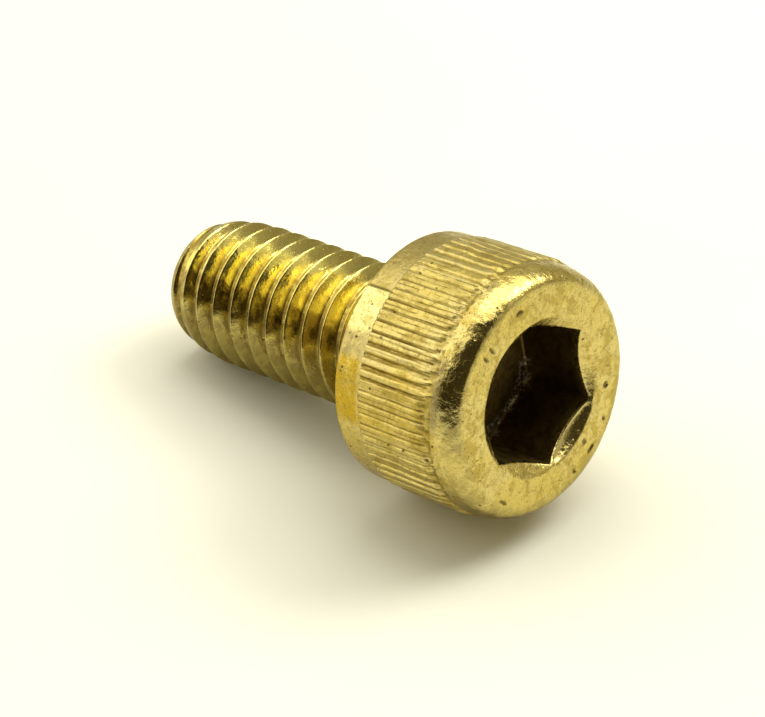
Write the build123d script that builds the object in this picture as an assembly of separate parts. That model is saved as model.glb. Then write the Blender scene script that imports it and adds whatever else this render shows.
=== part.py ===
from build123d import *
import math
import os

# M6 x 12 socket head cap screw: a knurled cylindrical head with a hexagon socket, threaded up to the
# head. The bolt is one forging. It is written as two solids that meet face to face: the head with its
# neck, and the threaded shank.
#
# Each solid is drawn about +Z, with the head above the bearing face and the shank below it, and then
# laid down. In the part's own frame the axis is +X towards the socket and the shank points along -X.
# The origin is the centre of the bearing face, under the head. Millimetres.

# Driving sizes
THREAD_D = 6.0
PITCH = 1.0
SHANK_LENGTH = 12.0
HEAD_HEIGHT = 6.0
KEY_SIZE = 5.0
SOCKET_DEPTH = 3.2

# Head
COLLAR_R = 4.9
COLLAR_TOP = 1.4
COLLAR_EDGE = 0.2
KNURL_CREST_R = 5.0
KNURL_ROOT_R = 4.87
KNURL_TEETH = 69
KNURL_TOP = 5.05
KNURL_LEAD = 0.3
KNURL_FLAT_SHARE = 0.55
KNURL_TURN = 98.0
RIM_AXIAL = 1.3
RIM_RADIAL = 0.6

# Socket
KEY_CLEARANCE = 0.14
MOUTH_R = 3.10
MOUTH_SLOPE = 36.0
FLOOR_CONE_DEPTH = 0.45
FLOOR_CONE_R = 2.35
SOCKET_TURN = 31.2

# Neck between the bearing face and the first thread
NECK_LENGTH = 0.4
NECK_FILLET = 0.4

# Thread, with the flats and the root that a 60 degree metric profile has
CREST_CLEARANCE = 0.08
CREST_R = THREAD_D / 2 - CREST_CLEARANCE
ROOT_R = 2.40
CREST_FLAT = PITCH / 8
FLANK_TAN = math.tan(math.radians(30))
RIDGE_OVERLAP = 0.08
RUNOUT = 1.0
CREST_AT_TURN_0 = -0.379
TIP_AXIAL = 3.2
TIP_RADIAL = 0.92

OVERRUN = 2.0


def knurl_outline():
    """Closed outline of the straight knurl: flat-topped ridges with V-shaped grooves between them."""
    tooth = 2 * math.pi / KNURL_TEETH
    half_flat = KNURL_FLAT_SHARE * tooth / 2
    points = []
    for i in range(KNURL_TEETH):
        middle = math.radians(KNURL_TURN + 90) + i * tooth
        for turn, radius in (
            (-half_flat, KNURL_CREST_R),
            (half_flat, KNURL_CREST_R),
            (tooth / 2, KNURL_ROOT_R),
        ):
            points.append((radius * math.cos(middle + turn), radius * math.sin(middle + turn)))
    return points


def turned(profile):
    """Solid of revolution about Z from a closed profile in the XZ plane."""
    return revolve(Plane.XZ * make_face(profile), Axis.Z)


def head_blank():
    """Neck, bearing face, plain collar, knurl seat and rounded rim, with no socket yet."""
    rim_base = HEAD_HEIGHT - RIM_AXIAL
    seat_top = KNURL_TOP - KNURL_LEAD / 2
    climb = (seat_top - rim_base) / RIM_AXIAL
    seat_angle = math.degrees(math.asin(climb))
    face_r = COLLAR_R - RIM_RADIAL
    rim = EllipticalCenterArc((face_r, rim_base), RIM_RADIAL, RIM_AXIAL, seat_angle, arc_size=90 - seat_angle)
    fillet_r = CREST_R + NECK_FILLET
    fillet = CenterArc((fillet_r, -NECK_FILLET), NECK_FILLET, 180, -90)
    below = Polyline(
        fillet @ 1,
        (COLLAR_R - COLLAR_EDGE, 0),
        (COLLAR_R, COLLAR_EDGE),
        (COLLAR_R, COLLAR_TOP),
        (KNURL_ROOT_R, COLLAR_TOP),
        (KNURL_ROOT_R, (rim @ 0).Y),
        rim @ 0,
    )
    above = Polyline(rim @ 1, (0, HEAD_HEIGHT), (0, -NECK_LENGTH), (CREST_R, -NECK_LENGTH))
    return turned(Curve() + [fillet, below, rim, above])


def knurl_ring():
    """The ridges that the knurl raises, cut off square at the collar and tapered towards the rim."""
    height = KNURL_TOP - COLLAR_TOP
    ridges = Pos(0, 0, COLLAR_TOP) * extrude(make_face(Polyline(*knurl_outline(), close=True)), height)
    barrel = turned(
        Polyline(
            (0, COLLAR_TOP),
            (KNURL_CREST_R, COLLAR_TOP),
            (KNURL_CREST_R, KNURL_TOP - KNURL_LEAD),
            (KNURL_ROOT_R, KNURL_TOP),
            (0, KNURL_TOP),
            close=True,
        )
    )
    return ridges & barrel


def socket_space():
    """Hexagon socket with a shallow conical floor and a chamfered mouth."""
    flat_r = (KEY_SIZE + KEY_CLEARANCE) / 2
    floor = HEAD_HEIGHT - SOCKET_DEPTH
    hexagon = RegularPolygon(flat_r, 6, major_radius=False, rotation=SOCKET_TURN + 90)
    sides = Pos(0, 0, floor) * extrude(hexagon, SOCKET_DEPTH + OVERRUN)
    point = turned(Polyline((0, floor - FLOOR_CONE_DEPTH), (FLOOR_CONE_R, floor), (0, floor), close=True))
    mouth_depth = MOUTH_R * math.tan(math.radians(MOUTH_SLOPE))
    mouth = turned(
        Polyline((0, HEAD_HEIGHT - mouth_depth), (MOUTH_R, HEAD_HEIGHT), (0, HEAD_HEIGHT), close=True)
    )
    return sides + point + mouth


def socket_head():
    return head_blank() + knurl_ring() - socket_space()


def shank_envelope():
    """Outside of the threaded length: crest radius, drawn in to a rounded tip."""
    tip_base = TIP_AXIAL - SHANK_LENGTH
    point_r = CREST_R - TIP_RADIAL
    tip = EllipticalCenterArc((point_r, tip_base), TIP_RADIAL, TIP_AXIAL, -90, arc_size=90)
    side = Polyline(tip @ 1, (CREST_R, -NECK_LENGTH), (0, -NECK_LENGTH), (0, -SHANK_LENGTH), tip @ 0)
    return turned(Curve() + [tip, side])


def shank_core():
    """Root cylinder, growing to the crest radius where the thread runs out under the head."""
    return turned(
        Polyline(
            (0, -SHANK_LENGTH - OVERRUN),
            (ROOT_R, -SHANK_LENGTH - OVERRUN),
            (ROOT_R, -NECK_LENGTH - RUNOUT),
            (CREST_R, -NECK_LENGTH),
            (0, -NECK_LENGTH),
            close=True,
        )
    )


def thread_turn(start):
    """One right-hand turn of the ridge, sunk a little into the core and standing past the crest radius."""
    sunk_r = ROOT_R - RIDGE_OVERLAP
    proud_r = CREST_R + RIDGE_OVERLAP
    half_base = CREST_FLAT / 2 + (CREST_R - sunk_r) * FLANK_TAN
    half_top = CREST_FLAT / 2 - (proud_r - CREST_R) * FLANK_TAN
    path = Pos(0, 0, start) * Helix(PITCH, PITCH, sunk_r)
    outline = Polyline(
        (sunk_r, -half_base),
        (proud_r, -half_top),
        (proud_r, half_top),
        (sunk_r, half_base),
        close=True,
    )
    section = Pos(0, 0, start) * (Plane.XZ * make_face(outline))
    return sweep(section, path=path, is_frenet=True)


def threaded_shank():
    turns = math.ceil(SHANK_LENGTH / PITCH) + 2
    shank = shank_core()
    for i in range(turns):
        shank += thread_turn(CREST_AT_TURN_0 - i * PITCH)
    return shank & shank_envelope()


def laid_down(solid):
    """Turns the drawing axis +Z onto the part's +X."""
    return Rot(0, 90, 0) * solid


os.makedirs("parts", exist_ok=True)
export_step(laid_down(socket_head()), "parts/socket_head.step")
export_step(laid_down(threaded_shank()), "parts/threaded_shank.step")
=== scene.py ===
import math

import bmesh
import bpy
import numpy as np
from mathutils import Matrix, Vector, noise


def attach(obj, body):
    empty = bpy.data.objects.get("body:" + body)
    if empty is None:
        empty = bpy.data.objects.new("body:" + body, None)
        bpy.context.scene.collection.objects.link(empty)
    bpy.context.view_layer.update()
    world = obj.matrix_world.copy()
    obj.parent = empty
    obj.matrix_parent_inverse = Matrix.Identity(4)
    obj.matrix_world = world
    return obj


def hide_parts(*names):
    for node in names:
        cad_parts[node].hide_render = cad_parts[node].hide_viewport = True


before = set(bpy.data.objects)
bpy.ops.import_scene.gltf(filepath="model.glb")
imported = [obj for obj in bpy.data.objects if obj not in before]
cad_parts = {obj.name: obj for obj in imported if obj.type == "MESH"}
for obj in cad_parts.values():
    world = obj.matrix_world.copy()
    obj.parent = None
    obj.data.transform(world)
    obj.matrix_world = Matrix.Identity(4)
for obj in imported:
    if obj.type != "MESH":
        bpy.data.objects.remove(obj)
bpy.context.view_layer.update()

# The bolt lies along X: its axis is the X axis, the bearing face is at X = 0, the socket faces +X and the
# shank points along -X. Angles round the axis are in degrees from +Y towards +Z. Shapes are worked out in
# millimetres and turned into metres as each mesh is made.
MM = 0.001

# Sizes that the CAD model has too
HEAD_HEIGHT = 6.0
COLLAR_R = 4.9
COLLAR_TOP = 1.4
COLLAR_EDGE = 0.2
KNURL_CREST_R = 5.0
KNURL_ROOT_R = 4.87
KNURL_TEETH = 69
KNURL_TOP = 5.05
KNURL_TURN = 98.0
RIM_AXIAL = 1.3
RIM_RADIAL = 0.6
SOCKET_FLAT_R = 2.57
SOCKET_TURN = 31.2
SOCKET_DEPTH = 3.2
MOUTH_R = 3.10
MOUTH_SLOPE = math.tan(math.radians(36))
FLOOR_CONE_DEPTH = 0.45
FLOOR_CONE_R = 2.35
NECK_LENGTH = 0.4
NECK_FILLET = 0.4
PITCH = 1.0
SHANK_LENGTH = 12.0
CREST_R = 2.92
ROOT_R = 2.40
RUNOUT = 1.0
CREST_AT_ZERO = -0.129
TIP_AXIAL = 3.2
TIP_RADIAL = 0.92

# Shapes that differ from the CAD model or are only here. The thread's crest is narrower than its 0.125 mm,
# and the tip's end is dished. Some ridges of the knurl are taller, and the collar has a nick.
CREST_FLAT = 0.07
TIP_DISH = 0.12
TALL_RIDGES_AT = (145.0, 150.2, 155.4)
NICK_AT = 118
NICK_DEPTH = 0.04

# Mesh densities
HEAD_COLUMNS = 690
THREAD_COLUMNS = 200

# The bolt rests on the collar's edge and on the tip, so the floor is tilted in the bolt's own frame
REST_TILT = math.radians(11.2)
UP = Vector((math.sin(REST_TILT), 0, math.cos(REST_TILT)))

# Camera: place in millimetres, aim, and its focal length on a 36 mm wide sensor
CAMERA_AT = Vector((69.51, -63.39, 53.54))
CAMERA_AIM = Vector((-0.65221, 0.57533, -0.49358))
CAMERA_LENS = 134.2

# Metres
LIGHT_DISTANCE = 0.3
FLOOR_RADIUS = 0.034
FLOOR_BEHIND = 0.010

MARK_FULL_DEPTH = 0.05
KNURL_SEED = 12

rng = np.random.default_rng(KNURL_SEED)


def toward(azimuth, elevation):
    """Unit vector from the bolt, by angles in degrees: azimuth from the camera's side to its right, and
    elevation above the floor."""
    ahead = -CAMERA_AIM - UP * UP.dot(-CAMERA_AIM)
    ahead.normalize()
    side = UP.cross(ahead)
    a, e = math.radians(azimuth), math.radians(elevation)
    return (ahead * math.cos(a) + side * math.sin(a)) * math.cos(e) + UP * math.sin(e)


# ---------------------------------------------------------------- numeric helpers

def smooth(low, high, value):
    """0 below low, 1 above high, and a smooth step between."""
    t = np.clip((np.asarray(value, float) - low) / (high - low), 0, 1)
    return t * t * (3 - 2 * t)


def window(low, high, soft, value):
    """1 between low and high, falling to 0 over soft outside them."""
    return smooth(low - soft, low, value) * (1 - smooth(high, high + soft, value))


def around(angle, middle):
    """Signed distance in degrees from middle to angle, the short way round."""
    return (np.asarray(angle) - middle + 180) % 360 - 180


def ring_points(x, r, degrees):
    """Points at axial place x, radius r and angle in degrees, as an array of xyz."""
    a = np.radians(degrees)
    return np.stack([x, r * np.cos(a), r * np.sin(a)], -1)


def bumps(points, scale, octaves, offset=0.0):
    """Fractal noise at every point, about -1 to 1, with scale in cycles per millimetre."""
    flat = points.reshape(-1, 3) * scale + offset
    values = [noise.fractal(Vector(p), 1.0, 2.0, octaves, noise_basis="PERLIN_ORIGINAL") for p in flat]
    return np.array(values).reshape(points.shape[:-1])


def make_piece(name, points, faces, masks):
    """Object from points in millimetres. masks, name to a value for each point, become attributes."""
    mesh = bpy.data.meshes.new(name)
    mesh.from_pydata((points * MM).tolist(), [], faces)
    for mask, values in masks.items():
        attribute = mesh.attributes.new(mask, "FLOAT", "POINT")
        attribute.data.foreach_set("value", np.asarray(values, np.float32))
    work = bmesh.new()
    work.from_mesh(mesh)
    bmesh.ops.remove_doubles(work, verts=work.verts, dist=1e-8)
    bmesh.ops.recalc_face_normals(work, faces=work.faces)
    work.to_mesh(mesh)
    work.free()
    mesh.shade_smooth()
    mesh.update()
    piece = bpy.data.objects.new(name, mesh)
    bpy.context.scene.collection.objects.link(piece)
    return piece


# ---------------------------------------------------------------- head

def socket_wall(degrees):
    """Radius of the hexagon's sides."""
    return SOCKET_FLAT_R / np.cos(np.radians((degrees - SOCKET_TURN) % 60 - 30))


def rim_r(x):
    """Radius of the rounded rim."""
    climb = np.clip((x - (HEAD_HEIGHT - RIM_AXIAL)) / RIM_AXIAL, 0, 1)
    return COLLAR_R - RIM_RADIAL + RIM_RADIAL * np.sqrt(1 - climb * climb)


def knurl_height(x, degrees):
    """Height of the knurl over its grooves, 0 to about 1, with the strikes and wear of this bolt, and how
    far each place is from its ridge's middle, 0 to 1 in the groove."""
    tooth = 360 / KNURL_TEETH
    turn = (degrees - KNURL_TURN) / tooth
    number = np.round(turn).astype(int) % KNURL_TEETH
    lean_off = turn - np.round(turn)
    off = np.abs(lean_off)
    tall = rng.uniform(0.78, 1.0, KNURL_TEETH)
    wide = rng.uniform(-0.05, 0.02, KNURL_TEETH)
    lean = rng.uniform(-0.45, 0.45, KNURL_TEETH)
    top_end = rng.uniform(-0.12, 0.05, KNURL_TEETH)
    ramp = rng.uniform(0.42, 0.60, KNURL_TEETH)
    point = np.full(KNURL_TEETH, 1.6)
    for middle in TALL_RIDGES_AT:
        tooth_number = int(round((middle - KNURL_TURN) / tooth)) % KNURL_TEETH
        tall[tooth_number] = 1.15
        wide[tooth_number] = -0.17
        ramp[tooth_number] = 0.22
        point[tooth_number] = 9.0
    ridge = (1 - smooth(0.375 + wide[number], 0.50 + 0.7 * wide[number], off)) * tall[number]
    ridge = ridge * (1 + lean[number] * lean_off)
    split = window(118, 140, 3, degrees) * (1 - smooth(0.0, 0.13, off))
    ridge = ridge - 0.40 * split * smooth(-0.6, 0.3, np.sin(x * 1.3 + degrees * 0.30))
    worn = window(160, 184, 4, degrees)
    ridge = ridge * (1 - 0.40 * worn) + 0.30 * worn
    low = window(236, 330, 6, degrees)
    ridge = ridge * (1 - 0.25 * low)
    end = KNURL_TOP - 0.02 + top_end[number] - point[number] * off * off
    return ridge * (1 - smooth(end - ramp[number], end, x)), 2 * off


FACE_MARKS = (
    # radius, angle, half length along the ring, half width, depth
    (3.86, 98, 0.20, 0.09, 0.055),
    (3.78, 125, 0.08, 0.20, 0.050),
    (3.84, 131, 0.08, 0.17, 0.050),
    (3.66, -20, 0.13, 0.13, 0.060),
    (3.52, -57, 0.13, 0.11, 0.045),
    (4.06, -57, 0.26, 0.08, 0.055),
    (4.02, -39.5, 0.09, 0.09, 0.050),
    (4.05, -73, 0.10, 0.09, 0.050),
    (4.10, 229, 0.24, 0.08, 0.050),
)


def face_marks(r, degrees):
    """Depth of the small dots and dashes struck into the head's face, in millimetres."""
    depth = np.zeros(np.broadcast(r, degrees).shape)
    for at_r, at_angle, half_along, half_across, deep in FACE_MARKS:
        along = np.radians(around(degrees, at_angle)) * at_r / half_along
        across = (r - at_r) / half_across
        depth = np.maximum(depth, deep * (1 - smooth(0.5, 1.25, np.sqrt(along ** 2 + across ** 2))))
    return depth


def head_rows():
    """Rows of the head from the socket's floor to the neck: pairs of (x, r), each a number or a ring."""
    degrees = SOCKET_TURN + np.arange(HEAD_COLUMNS) * 360 / HEAD_COLUMNS
    wall = socket_wall(degrees)
    floor = HEAD_HEIGHT - SOCKET_DEPTH
    mouth_x = HEAD_HEIGHT - (MOUTH_R - wall) * MOUTH_SLOPE
    dished = 1 + 0.95 * window(-80, -36, 6, around(degrees, 0))
    rows = []
    for r in (0.02, 0.7, 1.4, 2.0, FLOOR_CONE_R - 0.08):
        rows.append((floor - FLOOR_CONE_DEPTH * (1 - r / FLOOR_CONE_R), r))
    rows.append((floor - 0.005, FLOOR_CONE_R + 0.04))
    rows.append((floor, wall - 0.10))
    rows.append((floor + 0.03, wall - 0.03))
    rows.append((floor + 0.10, wall))
    for t in np.linspace(0, 1, 13)[1:-1]:
        rows.append((floor + 0.10 + (mouth_x - floor - 0.10) * t, wall))
    rows.append((mouth_x - 0.05, wall + 0.002))
    rows.append((mouth_x + 0.004, wall + 0.022))
    for t in (0.16, 0.28, 0.42, 0.58, 0.72, 0.84):
        rows.append((mouth_x + (HEAD_HEIGHT - mouth_x) * t ** dished, wall + (MOUTH_R - wall) * t))
    rows.append((HEAD_HEIGHT - 0.022, MOUTH_R - 0.005))
    rows.append((HEAD_HEIGHT - 0.004, MOUTH_R + 0.045))
    face_r = COLLAR_R - RIM_RADIAL
    for r in np.linspace(MOUTH_R + 0.09, face_r, 31):
        rows.append((HEAD_HEIGHT, r))
    rim_base = HEAD_HEIGHT - RIM_AXIAL
    for t in np.radians(np.linspace(84, 17, 18)):
        rows.append((rim_base + RIM_AXIAL * math.sin(t), face_r + RIM_RADIAL * math.cos(t)))
    for x in np.concatenate([np.linspace(5.03, 4.55, 10), np.linspace(4.40, 1.55, 16), [1.46, 1.415]]):
        seat = KNURL_ROOT_R + (rim_r(x) - KNURL_ROOT_R) * smooth(4.78, 4.93, x)
        rows.append((x, seat))
    for x in (COLLAR_TOP - 0.012, COLLAR_TOP - 0.05, 1.15, 0.9, 0.65, 0.42, COLLAR_EDGE + 0.06):
        rows.append((x, COLLAR_R))
    rows.append((COLLAR_EDGE - 0.02, COLLAR_R - 0.012))
    rows.append((COLLAR_EDGE / 2, COLLAR_R - COLLAR_EDGE / 2))
    rows.append((0.02, COLLAR_R - COLLAR_EDGE + 0.012))
    for r in (COLLAR_R - COLLAR_EDGE - 0.05, 4.3, 3.9, 3.5):
        rows.append((0.0, r))
    for t in np.radians((90, 60, 30, 0)):
        r = CREST_R + NECK_FILLET - NECK_FILLET * math.cos(t)
        rows.append((-NECK_FILLET + NECK_FILLET * math.sin(t), r))
    rows.append((-NECK_LENGTH - 0.02, CREST_R - 0.01))
    return degrees, rows


def build_head():
    degrees, rows = head_rows()
    shape = (len(rows), HEAD_COLUMNS)
    x = np.empty(shape)
    r = np.empty(shape)
    for i, (row_x, row_r) in enumerate(rows):
        x[i] = row_x
        r[i] = row_r
    angle = np.broadcast_to(degrees, shape) % 360
    at = ring_points(x, r, angle)
    broad = bumps(at, 0.45, 3)
    fine = bumps(at, 2.3, 3, 7.7)

    outside = smooth(MOUTH_R + 0.02, MOUTH_R + 0.08, r) * smooth(-0.02, 0.02, x)
    on_face = window(MOUTH_R + 0.06, COLLAR_R - RIM_RADIAL + 0.05, 0.05, r) * (x > HEAD_HEIGHT - 0.03)
    in_knurl = (x > COLLAR_TOP) & (x < KNURL_TOP) & (r > COLLAR_R - RIM_RADIAL)
    in_socket = (x > 0) & (r < MOUTH_R)

    height, across = knurl_height(x, angle)
    height = height * (1 - 0.40 * smooth(0.12, 0.55, broad))
    height = np.where(in_knurl, np.clip(height + 0.07 * fine * smooth(0.0, 0.2, height), 0, 1.2), 0)
    crest_gap = np.where(in_knurl, np.minimum(KNURL_CREST_R - r, KNURL_CREST_R - KNURL_ROOT_R), 0)
    side = smooth(4.3, 4.8, r) * (x > 0.1)
    r = r + height * crest_gap + side * (0.006 * broad + 0.004 * fine)
    marks = face_marks(r, angle) * on_face
    rim = window(5.0, 5.9, 0.25, x) * (r > 4.25)
    x = x + outside * (x > 5.5) * (0.006 * broad + 0.004 * fine) - marks
    r = r + rim * (0.012 * fine + 0.010 * broad)
    nick = (1 - smooth(0.3, 0.9, np.abs(around(angle, NICK_AT)))) * window(0.25, 1.3, 0.1, x) * (r > 4.8)
    r = r - NICK_DEPTH * nick
    r = r + in_socket * (x > 3.0) * (x < 5.6) * 0.010 * bumps(ring_points(x * 0.15, r, angle), 2.6, 3, 3.1)

    points = ring_points(x, r, angle).reshape(-1, 3)
    points = np.vstack([points, [[x[0, 0], 0, 0], [x[-1, 0], 0, 0]]])
    first, last = len(points) - 2, len(points) - 1
    j = np.arange(HEAD_COLUMNS)
    k = (j + 1) % HEAD_COLUMNS
    faces = []
    for i in range(len(rows) - 1):
        a, b = i * HEAD_COLUMNS, (i + 1) * HEAD_COLUMNS
        faces += np.stack([a + j, a + k, b + k, b + j], 1).tolist()
    top = (len(rows) - 1) * HEAD_COLUMNS
    faces += np.stack([np.full(HEAD_COLUMNS, first), k, j], 1).tolist()
    faces += np.stack([np.full(HEAD_COLUMNS, last), top + j, top + k], 1).tolist()

    mouth_depth = (MOUTH_R - socket_wall(angle)) * MOUTH_SLOPE
    depth = HEAD_HEIGHT - mouth_depth - x
    masks = {
        "groove": in_knurl * (1 - np.clip(height, 0, 1)) * (1 - smooth(4.85, 5.0, x)),
        "socket": in_socket * smooth(-0.05, 0.55, depth),
        "edge": in_knurl * smooth(0.85, 1.05, height)
        + window(1.33, 1.40, 0.02, x) * (r > 4.8)
        + window(-0.05, 0.03, 0.03, depth) * in_socket,
        "mark": np.maximum(marks / MARK_FULL_DEPTH, nick),
        "across": across * in_knurl * (1 - smooth(4.6, 4.95, x)),
        "split": np.maximum(window(100, 143, 4, angle), window(163, 206, 5, angle)),
        "burr": window(-0.02, 0.10, 0.03, x - (HEAD_HEIGHT - SOCKET_DEPTH)) * (r > 2.3) * (r < 3)
        * window(170, 345, 6, angle) * smooth(-0.15, 0.1, fine),
        "knurl": window(COLLAR_TOP, 4.9, 0.05, x) * (r > 4.6),
        # Painted reflection: an orange band on the collar and the knurl, 153 to 178 degrees, weaker above
        # the collar.
        "painted_warm_reflection": (x > 0.05) * (x < 5) * (r > 4.6) * window(153, 178, 6, angle)
        * (1 - 0.6 * smooth(1.3, 1.6, x)),
        # Painted shade: the collar is painted a duller grey-brown at 142 to 148 degrees, and more weakly at
        # 60 to 117 degrees. A band at the knurl's ends, 142 to 168 degrees, is painted the same. These
        # places are also made rougher.
        "dull_and_painted_shade": (x > 0.1) * (r > 4.6) * (x < COLLAR_TOP)
        * np.maximum(window(142, 148, 5, angle), 0.45 * window(60, 117, 1.5, angle))
        + window(4.98, 5.2, 0.12, x) * (r > 4.3) * window(142, 168, 7, angle),
        # Painted highlight: a near-white band on the collar between about 120 and 136 degrees.
        "painted_collar_highlight": (x > 0.05) * (r > 4.6) * (x < COLLAR_TOP)
        * window(119.5, 136, 1.5 + 4 * (angle > 130), angle),
        # Painted shade: the face's outer edge and the top of the rim are painted darker olive, most between
        # 175 and 335 degrees.
        "painted_outer_shade": smooth(4.05, 4.3, r) * (x > 5.4) * (0.45 + 0.55 * window(175, 335, 20, angle)),
        "mouth": in_socket * (1 - smooth(-0.05, 0.10, depth)),
        "rim": window(5.05, 5.98, 0.1, x) * (r > 4.15),
        # Painted shade: the bearing face and the neck under the head are painted dark brown, most between
        # 140 and 190 degrees.
        "painted_underside_shade": (1 - smooth(-0.1, 0.12, x)) * (0.35 + 0.65 * window(140, 190, 10, angle)),
    }
    masks = {name: np.append(np.clip(value, 0, 1).ravel(), [1.0 * (name == "socket"), 0.0])
             for name, value in masks.items()}
    return make_piece("HexSocketHead", points, faces, masks)


# ---------------------------------------------------------------- thread

HALF_CREST = CREST_FLAT / 2
FLANK = (CREST_R - ROOT_R) * math.tan(math.radians(30))
HALF_BASE = HALF_CREST + FLANK
CREST_SOFT = 0.06
ROOT_SOFT = 0.09


def thread_places():
    """Axial places over one pitch, measured from the crest, closest together where the profile bends."""
    side = np.concatenate([
        np.linspace(0, HALF_CREST * 0.75, 4),
        [HALF_CREST, HALF_CREST + 0.018, HALF_CREST + 0.04],
        np.linspace(HALF_CREST + 0.075, HALF_BASE - 0.05, 6),
        [HALF_BASE - 0.02, HALF_BASE + 0.01, HALF_BASE + 0.035],
        np.linspace(HALF_BASE + 0.065, PITCH / 2, 4),
    ])
    return np.concatenate([-side[::-1], side[1:-1]])


def thread_height(off):
    """Height of the ridge at an axial distance from its crest: 0 at the root, 1 at the crest, rounded."""
    plain = 1 - (np.abs(off) - HALF_CREST) / FLANK
    crest = 0.5 * (plain + 1 - np.sqrt((plain - 1) ** 2 + CREST_SOFT ** 2))
    return 0.5 * (crest + np.sqrt(crest ** 2 + ROOT_SOFT ** 2)) - 0.02


def build_thread():
    """The thread is a grid that follows the helix, cut off flat at both ends and closed."""
    places = thread_places()
    per_turn = len(places)
    turns = math.ceil(SHANK_LENGTH / PITCH) + 2
    columns = THREAD_COLUMNS
    degrees = np.arange(columns) * 360 / columns
    crests = CREST_AT_ZERO - (turns - 1 - np.arange(turns + 1)) * PITCH
    along = (crests[:, None] + places[None, :]).ravel()
    x = along[:, None] + degrees[None, :] / 360 * PITCH
    x = np.clip(x, -SHANK_LENGTH, -NECK_LENGTH)
    angle = np.broadcast_to(degrees, x.shape)
    off = (x - CREST_AT_ZERO - angle / 360 * PITCH + PITCH / 2) % PITCH - PITCH / 2
    height = thread_height(off)
    core = ROOT_R + (CREST_R - ROOT_R) * smooth(-NECK_LENGTH - RUNOUT, -NECK_LENGTH, x)
    r = np.maximum(ROOT_R + height * (CREST_R - ROOT_R), core)
    beyond = np.clip((TIP_AXIAL - SHANK_LENGTH - x) / TIP_AXIAL, 0, 1)
    envelope = CREST_R - TIP_RADIAL + TIP_RADIAL * np.sqrt(1 - beyond ** 2)
    topped = smooth(-0.04, 0.02, r - envelope) * smooth(0.02, 0.2, beyond)
    r = np.minimum(r, envelope)
    at = ring_points(x, r, angle)
    inner = 1 - smooth(-NECK_LENGTH - 0.25, -NECK_LENGTH, x)
    r = r + inner * (0.007 * bumps(at, 0.9, 3, 2.2) + 0.004 * bumps(at, 3.0, 2, 9.1))

    rows = len(along)
    faces = []
    j = np.arange(columns - 1)
    for i in range(rows - 1):
        a, b = i * columns, (i + 1) * columns
        faces += np.stack([a + j, b + j, b + j + 1, a + j + 1], 1).tolist()
    for i in range(rows - per_turn - 1):
        here, there = (i + 1) * columns - 1, (i + per_turn) * columns
        faces.append([here, here + columns, there + columns, there])

    points = [ring_points(x, r, angle).reshape(-1, 3)]
    count = rows * columns
    j = np.arange(columns)
    k = (j + 1) % columns
    for end_x, end_r, dish in ((-SHANK_LENGTH, r[0], TIP_DISH), (-NECK_LENGTH, r[-1], 0.0)):
        for ring, share in enumerate((1.0, 0.97, 0.88, 0.70, 0.45, 0.20)):
            sunk = dish * smooth(0, 0.5, 1 - share)
            points.append(ring_points(np.full(columns, end_x + sunk), end_r * share, degrees))
            if ring:
                a, b = count - columns, count
                faces += np.stack([a + j, a + k, b + k, b + j], 1).tolist()
            count += columns
        points.append(np.array([[end_x + dish, 0, 0]]))
        faces += np.stack([count - columns + j, count - columns + k, np.full(columns, count)], 1).tolist()
        count += 1

    extra = count - rows * columns
    masks = {
        "crest": np.clip(smooth(0.95, 1.0, height) + 0.4 * topped, 0, 1),
        "root": 1 - smooth(0.02, 0.35, height),
        # Painted shade: the thread's lower side, 174 to 300 degrees, and a band at 50 to 84 degrees are
        # painted darker.
        "dull_and_painted_shade": window(174, 300, 12, angle) + 0.8 * window(50, 84, 12, angle),
        # Painted reflection: a dark band along the thread between 140 and 164 degrees.
        "painted_dark_reflection": window(140, 164, 7, angle),
        # Painted shade: the last 0.9 mm towards the tip's end is painted darker.
        "tip": smooth(-11.1, -11.7, x),
    }
    ends = {"crest": 0.0, "root": 0.3, "dull_and_painted_shade": 0.5, "painted_dark_reflection": 0.0, "tip": 0.6}
    masks = {name: np.append(value.ravel(), np.full(extra, ends[name])) for name, value in masks.items()}
    return make_piece("ThreadedShank", np.vstack(points), faces, masks)


# ---------------------------------------------------------------- materials

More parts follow.
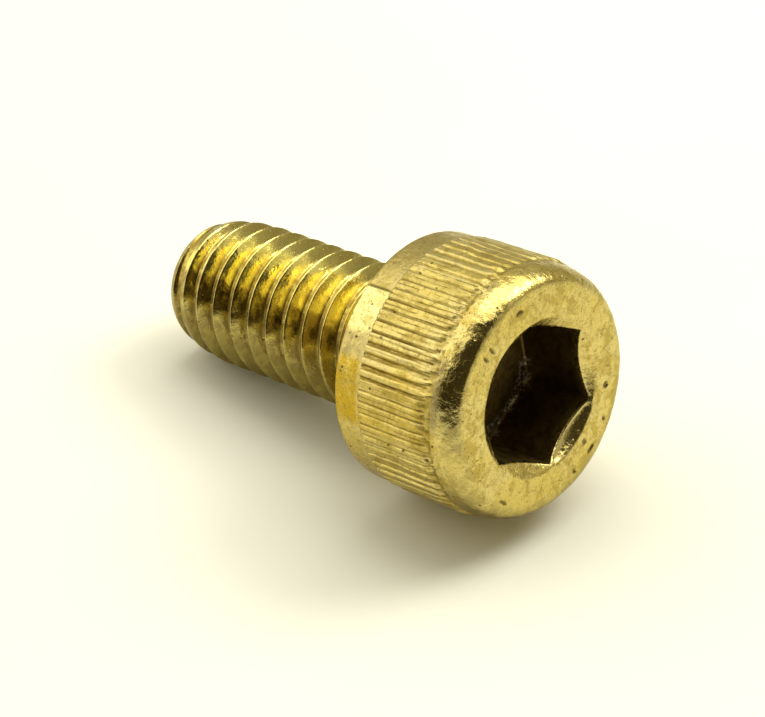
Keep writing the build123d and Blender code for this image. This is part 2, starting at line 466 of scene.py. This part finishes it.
class Tree:
    """Adds nodes to a node tree, one call for each, and returns the socket that the next one needs."""

    def __init__(self, tree):
        self.tree = tree
        tree.nodes.clear()

    def add(self, kind, out=0, settings=(), **inputs):
        made = self.tree.nodes.new("ShaderNode" + kind)
        for key, value in dict(settings).items():
            setattr(made, key, value)
        for key, value in inputs.items():
            name = key.replace("_", " ")
            socket = made.inputs[int(key[1:])] if key[0] == "i" and key[1:].isdigit() else made.inputs[name]
            if isinstance(value, bpy.types.NodeSocket):
                self.tree.links.new(value, socket)
            else:
                socket.default_value = value
        return made.outputs[out]

    def add_output(self, shader, world=False):
        made = self.tree.nodes.new("ShaderNodeOutputWorld" if world else "ShaderNodeOutputMaterial")
        self.tree.links.new(shader, made.inputs["Surface"])

    def math(self, operation, a, b=0.0, clamp=False):
        return self.add("Math", settings={"operation": operation, "use_clamp": clamp}, i0=a, i1=b)

    def remap(self, value, low, high, to_low=0.0, to_high=1.0):
        return self.add("MapRange", settings={"interpolation_type": "SMOOTHSTEP"}, Value=value,
                        From_Min=low, From_Max=high, To_Min=to_low, To_Max=to_high)

    def mix(self, share, a, b, blend="MIX"):
        made = self.tree.nodes.new("ShaderNodeMix")
        made.data_type = "RGBA"
        made.blend_type = blend
        for index, value in ((0, share), (6, a), (7, b)):
            if isinstance(value, bpy.types.NodeSocket):
                self.tree.links.new(value, made.inputs[index])
            elif index == 0:
                made.inputs[index].default_value = value
            else:
                made.inputs[index].default_value = (*value, 1)
        return made.outputs[2]

    def noise(self, at, per_mm, detail=3.0, rough=0.5, twist=0.0):
        return self.add("TexNoise", Vector=at, Scale=per_mm / MM, Detail=detail, Roughness=rough,
                        Distortion=twist)

    def mask(self, name):
        return self.add("Attribute", out=2, settings={"attribute_name": name})

    def stretched(self, at, stretch):
        return self.add("Mapping", Vector=at, Scale=stretch)


def spots(t, at, per_mm, share, size):
    """1 in scattered small spots: a random share of Voronoi cells, each with a dot in the middle."""
    scale = per_mm / MM
    near = t.add("TexVoronoi", Vector=at, Scale=scale)
    pick = t.add("TexVoronoi", out=1, Vector=at, Scale=scale)
    chosen = t.math("LESS_THAN", t.add("SeparateColor", Color=pick), share)
    dot = t.remap(near, size * 0.4, size, 1.0, 0.0)
    return t.math("MULTIPLY", chosen, dot)


def veins(t, at, per_mm, width):
    """1 along thin wandering lines."""
    field = t.noise(at, per_mm, 3.0, 0.55, 0.8)
    away = t.math("ABSOLUTE", t.math("SUBTRACT", field, 0.5))
    return t.remap(away, width * 0.3, width, 1.0, 0.0)


def head_material():
    material = bpy.data.materials.new("YellowZincHead")
    material.use_nodes = True
    t = Tree(material.node_tree)
    at = t.add("TexCoord", out=3)

    broad = t.noise(at, 0.38, 3.0, 0.55, 0.4)
    mottled = t.noise(at, 1.9, 5.0, 0.62, 0.6)
    speckle = t.noise(at, 9.0, 3.0, 0.7)
    lengthwise = t.noise(t.stretched(at, (0.12, 1.0, 1.0)), 7.0, 2.0)
    peel = t.noise(at, 4.6, 4.0, 0.55, 0.3)
    crackle = veins(t, at, 1.5, 0.022)

    plate = t.mix(t.remap(broad, 0.36, 0.64), (0.64, 0.50, 0.13), (0.65, 0.53, 0.19))
    plate = t.mix(t.remap(mottled, 0.47, 0.62), plate, (0.49, 0.37, 0.085))
    # Painted reflection: that band is painted orange.
    plate = t.mix(t.math("MULTIPLY", t.mask("painted_warm_reflection"), t.remap(mottled, 0.25, 0.55, 0.5, 1.0)), plate,
                  (0.50, 0.33, 0.02))
    # Painted shade: the dull places get a darker grey-brown colour.
    plate = t.mix(t.math("MULTIPLY", t.mask("dull_and_painted_shade"), t.remap(mottled, 0.30, 0.60, 0.4, 0.9)), plate,
                  (0.36, 0.29, 0.12))
    # Painted highlight: the collar is painted near-white there.
    plate = t.mix(t.math("MULTIPLY", t.mask("painted_collar_highlight"), t.remap(mottled, 0.35, 0.65, 0.9, 0.4)), plate,
                  (0.88, 0.82, 0.32))
    # Painted shade: the face's outer edge and the rim are painted darker olive.
    plate = t.mix(t.math("MULTIPLY", t.mask("painted_outer_shade"), t.remap(mottled, 0.34, 0.60, 0.25, 0.85)), plate,
                  (0.42, 0.34, 0.11))
    scale = t.remap(t.noise(at, 4.6, 5.0, 0.72, 0.4), 0.52, 0.64, 0.0, 0.6)
    plate = t.mix(scale, plate, (0.36, 0.28, 0.07))
    plate = t.mix(t.remap(speckle, 0.54, 0.70, 0.0, 0.7), plate, (0.22, 0.16, 0.045))
    plate = t.mix(t.math("MULTIPLY", crackle, t.remap(broad, 0.42, 0.6, 0.0, 0.35)), plate,
                  (0.24, 0.18, 0.05))
    pits = spots(t, at, 2.6, 0.30, 0.20)
    small_pits = t.math("MULTIPLY", spots(t, at, 6.5, 0.32, 0.24), t.remap(mottled, 0.4, 0.6, 0.2, 0.9))
    pits = t.math("MAXIMUM", pits, small_pits)
    plate = t.mix(t.math("MULTIPLY", pits, 0.85), plate, (0.08, 0.055, 0.018))
    worn = t.math("MULTIPLY", t.mask("edge"), t.remap(mottled, 0.38, 0.60, 0.1, 0.7))
    plate = t.mix(worn, plate, (0.66, 0.56, 0.24))
    # The knurl's grooves are painted darker.
    groove_darkening = t.math("MULTIPLY", t.mask("groove"), t.remap(mottled, 0.32, 0.60, 0.1, 0.5))
    plate = t.mix(groove_darkening, plate, (0.26, 0.19, 0.04))
    across = t.mask("across")
    line = t.math("MULTIPLY", t.remap(across, 0.78, 0.96), t.remap(lengthwise, 0.35, 0.6, 0.35, 0.95))
    split = t.math("MULTIPLY", t.remap(across, 0.03, 0.16, 1.0, 0.0), t.mask("split"))
    split = t.math("MULTIPLY", split, t.remap(lengthwise, 0.40, 0.56, 0.0, 0.9))
    split = t.math("MULTIPLY", split, t.math("GREATER_THAN", across, 0.0001))
    line = t.math("MAXIMUM", line, split)
    plate = t.mix(t.math("MULTIPLY", line, 0.8), plate, (0.15, 0.10, 0.02))
    # The shoulders of the knurl's ridges are raised a little in the bump below and painted lighter, a
    # painted highlight.
    lip_and_painted_highlight = t.math("MULTIPLY", t.remap(across, 0.50, 0.66), t.remap(across, 0.70, 0.82, 1.0, 0.0))
    lip_and_painted_highlight = t.math("MULTIPLY", lip_and_painted_highlight, t.remap(lengthwise, 0.35, 0.6, 0.9, 0.1))
    plate = t.mix(t.math("MULTIPLY", lip_and_painted_highlight, 0.6), plate, (0.66, 0.56, 0.24))
    marked = t.math("MULTIPLY", t.mask("mark"), 0.85)
    plate = t.mix(marked, plate, (0.10, 0.07, 0.02))
    inside = t.mask("socket")
    # Painted shade: the socket's inside is painted dark brown from just below its mouth down to its floor.
    socket_painted_shade = t.math("MULTIPLY", inside, t.remap(mottled, 0.30, 0.72, 1.0, 0.80))
    plate = t.mix(socket_painted_shade, plate, (0.12, 0.075, 0.02))
    burr = t.math("MULTIPLY", t.mask("burr"), t.remap(speckle, 0.45, 0.55))
    plate = t.mix(burr, plate, (0.80, 0.76, 0.62))
    # Painted shade: dark brown under the head.
    plate = t.mix(t.math("MULTIPLY", t.mask("painted_underside_shade"), t.remap(mottled, 0.3, 0.6, 0.6, 0.95)), plate,
                  (0.24, 0.17, 0.04))

    rough = t.remap(mottled, 0.35, 0.65, 0.19, 0.31)
    rough = t.math("ADD", rough, t.math("MULTIPLY", t.mask("knurl"), 0.10))
    rough = t.math("ADD", rough, t.math("MULTIPLY", t.mask("dull_and_painted_shade"), 0.12))
    rough = t.math("SUBTRACT", rough, t.math("MULTIPLY", t.mask("rim"), 0.08))
    rough = t.math("SUBTRACT", rough, t.math("MULTIPLY", t.mask("mouth"), 0.06))
    rough = t.math("ADD", rough, t.math("MULTIPLY", inside, 0.18))
    rough = t.math("ADD", rough, t.math("MULTIPLY", pits, 0.25), clamp=True)

    relief = t.math("MULTIPLY", speckle, 0.55)
    relief = t.math("ADD", relief, t.math("MULTIPLY", mottled, 1.6))
    relief = t.math("ADD", relief, t.math("MULTIPLY", peel, 1.5))
    relief = t.math("SUBTRACT", relief, t.math("MULTIPLY", crackle, 0.2))
    relief = t.math("ADD", relief, t.math("MULTIPLY", lengthwise, 0.35))
    relief = t.math("SUBTRACT", relief, t.math("MULTIPLY", pits, 0.9))
    relief = t.math("SUBTRACT", relief, t.math("MULTIPLY", line, 0.9))
    relief = t.math("ADD", relief, t.math("MULTIPLY", lip_and_painted_highlight, 0.6))
    normal = t.add("Bump", Height=relief, Strength=0.6, Distance=0.018 * MM)

    shader = t.add("BsdfPrincipled", Base_Color=plate, Roughness=rough, Normal=normal, Metallic=1.0,
                   Specular_Tint=(0.80, 0.78, 0.70, 1))
    t.add_output(shader)
    return material


def thread_material():
    material = bpy.data.materials.new("YellowZincThread")
    material.use_nodes = True
    t = Tree(material.node_tree)
    at = t.add("TexCoord", out=3)

    broad = t.noise(at, 0.5, 3.0, 0.55, 0.4)
    mottled = t.noise(at, 2.4, 4.0, 0.6, 0.5)
    speckle = t.noise(at, 11.0, 3.0, 0.7)

    plate = t.mix(t.remap(broad, 0.36, 0.64), (0.78, 0.66, 0.15), (0.74, 0.62, 0.17))
    plate = t.mix(t.remap(mottled, 0.52, 0.68, 0.0, 0.6), plate, (0.62, 0.45, 0.06))
    plate = t.mix(t.remap(speckle, 0.60, 0.80, 0.0, 0.4), plate, (0.30, 0.20, 0.03))
    crest = t.math("MULTIPLY", t.mask("crest"), t.remap(mottled, 0.35, 0.6, 0.4, 1.0))
    plate = t.mix(t.math("MULTIPLY", crest, 0.8), plate, (0.40, 0.32, 0.20))
    root = t.math("MULTIPLY", t.mask("root"), t.remap(mottled, 0.32, 0.6, 0.3, 0.85))
    plate = t.mix(root, plate, (0.30, 0.19, 0.025))
    # Painted shade: darker grey-brown on those places, which also get calmer bumps below.
    dull_and_painted_shade = t.math("MULTIPLY", t.mask("dull_and_painted_shade"), t.remap(mottled, 0.3, 0.62, 0.68, 0.88))
    plate = t.mix(dull_and_painted_shade, plate, (0.23, 0.18, 0.06))
    # Painted reflection: the dark band is painted dark brown in patches.
    patchy = t.remap(t.noise(at, 1.3, 4.0, 0.6, 0.4), 0.36, 0.56, 0.15, 0.75)
    painted_dark_reflection = t.math("MULTIPLY", t.mask("painted_dark_reflection"), patchy)
    plate = t.mix(painted_dark_reflection, plate, (0.20, 0.13, 0.03))
    # Painted shade: darker towards the tip's end.
    plate = t.mix(t.math("MULTIPLY", t.mask("tip"), t.remap(mottled, 0.3, 0.62, 0.5, 0.95)), plate,
                  (0.28, 0.20, 0.05))
    small_pits = t.math("MULTIPLY", spots(t, at, 7.0, 0.22, 0.24), 0.7)
    pits = t.math("MAXIMUM", spots(t, at, 3.0, 0.20, 0.20), small_pits)
    plate = t.mix(t.math("MULTIPLY", pits, 0.7), plate, (0.20, 0.13, 0.03))

    rough = t.remap(mottled, 0.35, 0.65, 0.13, 0.24)
    rough = t.math("ADD", rough, t.math("MULTIPLY", root, 0.2))
    rough = t.math("ADD", rough, t.math("MULTIPLY", pits, 0.25), clamp=True)

    relief = t.math("MULTIPLY", speckle, 0.5)
    calmer = t.math("SUBTRACT", 4.2, t.math("MULTIPLY", t.mask("dull_and_painted_shade"), 3.4))
    waves = t.math("MULTIPLY", t.noise(at, 1.7, 2.0, 0.45, 0.2), calmer)
    relief = t.math("ADD", relief, waves)
    relief = t.math("ADD", relief, t.math("MULTIPLY", t.noise(at, 5.5, 3.0, 0.5, 0.2), 0.7))
    relief = t.math("SUBTRACT", relief, t.math("MULTIPLY", pits, 0.8))
    normal = t.add("Bump", Height=relief, Strength=0.5, Distance=0.018 * MM)

    shader = t.add("BsdfPrincipled", Base_Color=plate, Roughness=rough, Normal=normal, Metallic=1.0,
                   Specular_Tint=(0.80, 0.78, 0.70, 1))
    t.add_output(shader)
    return material


def floor_material():
    material = bpy.data.materials.new("PalePaper")
    material.use_nodes = True
    t = Tree(material.node_tree)
    at = t.add("TexCoord", out=3)
    tone = t.noise(at, 0.05, 2.0)
    grain = t.noise(at, 6.0, 3.0)
    colour = t.mix(t.remap(tone, 0.3, 0.7), (0.88, 0.865, 0.71), (0.89, 0.875, 0.73))
    normal = t.add("Bump", Height=grain, Strength=0.2, Distance=0.01 * MM)
    shader = t.add("BsdfPrincipled", Base_Color=colour, Roughness=0.9, Normal=normal)
    t.add_output(shader)
    return material


# ---------------------------------------------------------------- floor, light, camera

def lowest_along_up(pieces):
    """Height of the lowest point of the pieces along UP, in metres."""
    lows = []
    for piece in pieces:
        at = np.empty(len(piece.data.vertices) * 3)
        piece.data.vertices.foreach_get("co", at)
        lows.append(float((at.reshape(-1, 3) @ np.array(UP)).min()))
    return min(lows)


def build_floor(height, radius, behind):
    """Round sheet of paper that the bolt lies on, with its middle that far behind the bolt."""
    sides = 96
    rim = [(radius * math.cos(a), radius * math.sin(a), 0) for a in np.arange(sides) * 2 * math.pi / sides]
    mesh = bpy.data.meshes.new("PaperFloor")
    mesh.from_pydata(rim, [], [list(range(sides))])
    floor = bpy.data.objects.new("PaperFloor", mesh)
    bpy.context.scene.collection.objects.link(floor)
    ahead = toward(0, 0)
    turn = Matrix((ahead, UP.cross(ahead), UP)).transposed().to_4x4()
    floor.matrix_world = Matrix.Translation(UP * height - ahead * behind) @ turn
    mesh.materials.append(floor_material())
    return floor


def soft_light(name, direction, half_angle, radiance, colour):
    """Round soft light LIGHT_DISTANCE from the bolt, by its angular radius and its brightness."""
    light = bpy.data.lights.new(name, "AREA")
    light.shape = "DISK"
    radius = LIGHT_DISTANCE * math.tan(math.radians(half_angle))
    light.size = 2 * radius
    light.energy = radiance * math.pi * math.pi * radius ** 2
    light.color = colour
    lamp = bpy.data.objects.new(name, light)
    bpy.context.scene.collection.objects.link(lamp)
    lamp.location = direction * LIGHT_DISTANCE
    lamp.rotation_euler = direction.to_track_quat("Z", "Y").to_euler()


def build_world():
    """A pale room, darker on the camera's side, and as bright as the paper below the horizon."""
    world = bpy.data.worlds.new("SoftRoom")
    bpy.context.scene.world = world
    world.use_nodes = True
    t = Tree(world.node_tree)
    way = t.add("TexCoord", out=0)

    def beside(direction, low, high):
        near = t.add("VectorMath", out=1, settings={"operation": "DOT_PRODUCT"}, i0=way,
                     i1=tuple(direction))
        return t.remap(near, low, high)

    colour = t.mix(beside(UP, 0.05, 0.8), (0.52, 0.48, 0.34), (0.82, 0.80, 0.72))
    colour = t.mix(beside(toward(-104, 12), 0.74, 0.90), colour, (1.9, 1.82, 1.5))
    colour = t.mix(beside(toward(-110, 50), 0.78, 0.93), colour, (1.8, 1.75, 1.6))
    colour = t.mix(beside(toward(6, 44), 0.65, 0.72), colour, (0.06, 0.052, 0.038))
    colour = t.mix(beside(toward(-44, 12), 0.84, 0.91), colour, (0.05, 0.04, 0.02))
    colour = t.mix(beside(toward(8, 12), 0.78, 0.88), colour, (0.06, 0.05, 0.03))
    colour = t.mix(beside(UP, -0.06, 0.03), (0.92, 0.91, 0.83), colour)
    background = t.add("Background", Color=colour, Strength=1.0)
    t.add_output(background, world=True)


def build_camera():
    camera = bpy.data.cameras.new("PhotoCamera")
    camera.lens = CAMERA_LENS
    camera.sensor_width = 36
    camera.clip_start = 0.005
    camera.clip_end = 5
    holder = bpy.data.objects.new("PhotoCamera", camera)
    bpy.context.scene.collection.objects.link(holder)
    back = -CAMERA_AIM.normalized()
    right = UP.cross(back).normalized()
    turn = Matrix((right, back.cross(right), back)).transposed().to_4x4()
    holder.matrix_world = Matrix.Translation(CAMERA_AT * MM) @ turn
    bpy.context.scene.camera = holder


head = build_head()
thread = build_thread()
head.data.materials.append(head_material())
thread.data.materials.append(thread_material())
for piece in (head, thread):
    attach(piece, "root")
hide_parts("socket_head")
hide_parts("threaded_shank")

floor = build_floor(lowest_along_up([head, thread]), FLOOR_RADIUS, FLOOR_BEHIND)
soft_light("OverheadSoftbox", toward(140, 70), 28, 2.3, (1.0, 0.99, 0.96))
soft_light("KeySoftbox", toward(113, 46), 13, 6.8, (1.0, 0.99, 0.96))
build_world()
build_camera()
bpy.context.scene.view_settings.view_transform = "Standard"
